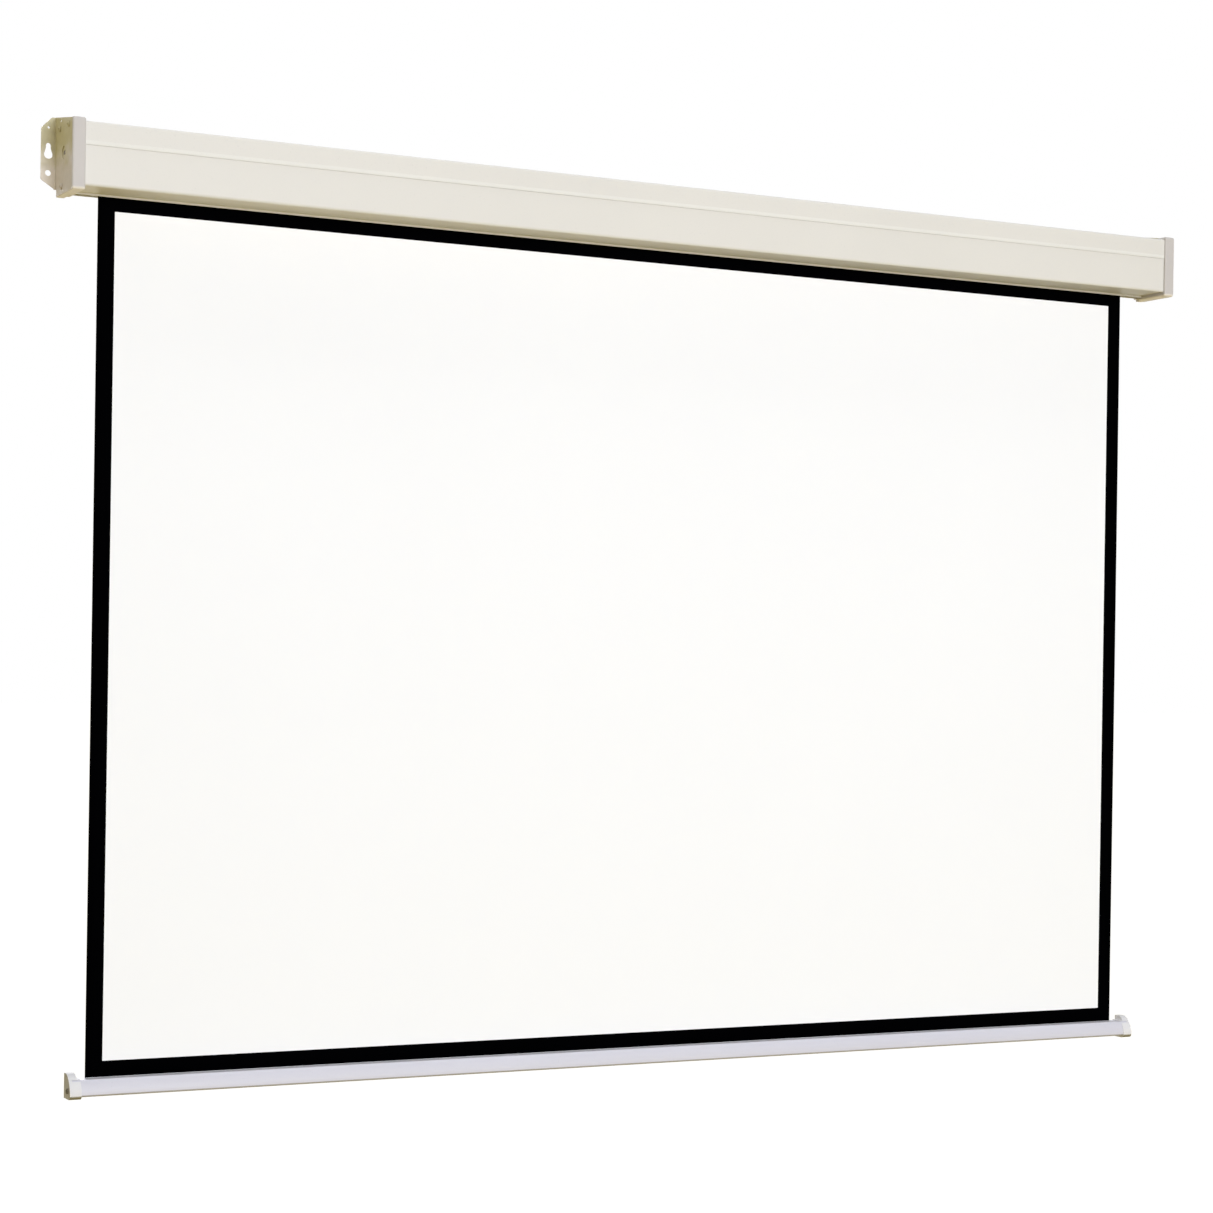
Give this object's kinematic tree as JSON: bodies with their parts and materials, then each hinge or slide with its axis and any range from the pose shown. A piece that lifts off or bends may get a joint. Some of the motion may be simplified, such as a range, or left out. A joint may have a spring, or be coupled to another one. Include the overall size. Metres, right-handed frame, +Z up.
{
  "type": "pull down projector screen",
  "caption": "Wall-hung pull down projector screen: two-shell casing, spring roller with ratchet, black-bordered white picture and a foot bar.",
  "frame": {"origin": "on the wall plane, behind the middle of the casing's back", "axes": "+X along the casing, to the right seen from the front; +Y into the wall; +Z up"},
  "size_m": [1.958, 0.0853, 1.376],
  "materials": {
    "casing": "ivory powder coat, satin",
    "cap": "moulded, fine grain",
    "bracket": "ivory paint over pressed steel, satin",
    "zinc": "bright zinc plate",
    "steel": "plain drawn steel",
    "nylon": "moulded, natural",
    "bar": "white lacquer over an extrusion, satin",
    "fabric": "coated cloth, matte",
    "screen": "matte white picture with printed black borders"
  },
  "bodies": {
    "housing": {"casing_channel": "casing", "front_cover": "casing", "end_cap_left": "cap", "end_cap_right": "cap", "wall_bracket_left": "bracket", "wall_bracket_right": "bracket", "cap_screw_left_rear": "zinc", "cap_screw_left_front": "zinc", "cap_screw_left_foot": "zinc", "cap_screw_right_rear": "zinc", "cap_screw_right_front": "zinc", "cap_screw_right_foot": "zinc", "spring_spindle": "steel", "ratchet_disc": "steel", "spring_anchor": "steel", "anchor_pin": "zinc", "torsion_spring": "steel", "idle_bush": "nylon", "screen_sheet": "screen"},
    "roller": {"roller_tube": "steel", "fabric_wraps": "fabric", "ratchet_plug": "nylon", "spindle_bearing": "nylon", "idle_plug": "nylon", "idle_pin": "zinc", "pawl_pin_a": "zinc", "pawl_pin_b": "zinc"},
    "pawl_a": {"pawl_a": "steel"},
    "pawl_b": {"pawl_b": "steel"},
    "bar": {"bar_profile": "bar", "bar_cap_left": "cap", "bar_cap_right": "cap", "screen_hem": "fabric", "hem_rod": "steel", "bar_screw_left": "zinc", "bar_screw_right": "zinc"}
  },
  "joints": [
    {"name": "screen_slide", "type": "slide", "parent": "housing", "child": "bar", "axis": [0, 0, 1], "range_m": [0, 1.23], "deforming": ["screen_sheet"]},
    {"name": "roller_turn", "type": "hinge", "parent": "housing", "child": "roller", "pos_m": [0, -0.0409, 0.005], "axis": [1, 0, 0], "range_deg": [0, 2610], "deforming": ["torsion_spring"]},
    {"name": "pawl_a_swing", "type": "hinge", "parent": "roller", "child": "pawl_a", "pos_m": [-0.9413, -0.0409, 0.026], "axis": [1, 0, 0], "range_deg": [0, 20]},
    {"name": "pawl_b_swing", "type": "hinge", "parent": "roller", "child": "pawl_b", "pos_m": [-0.9413, -0.0409, -0.016], "axis": [1, 0, 0], "range_deg": [0, 20]}
  ],
  "couplings": [
    {"joint": "roller_turn", "follows": "screen_slide", "rad_per_m": 37.035}
  ]
}
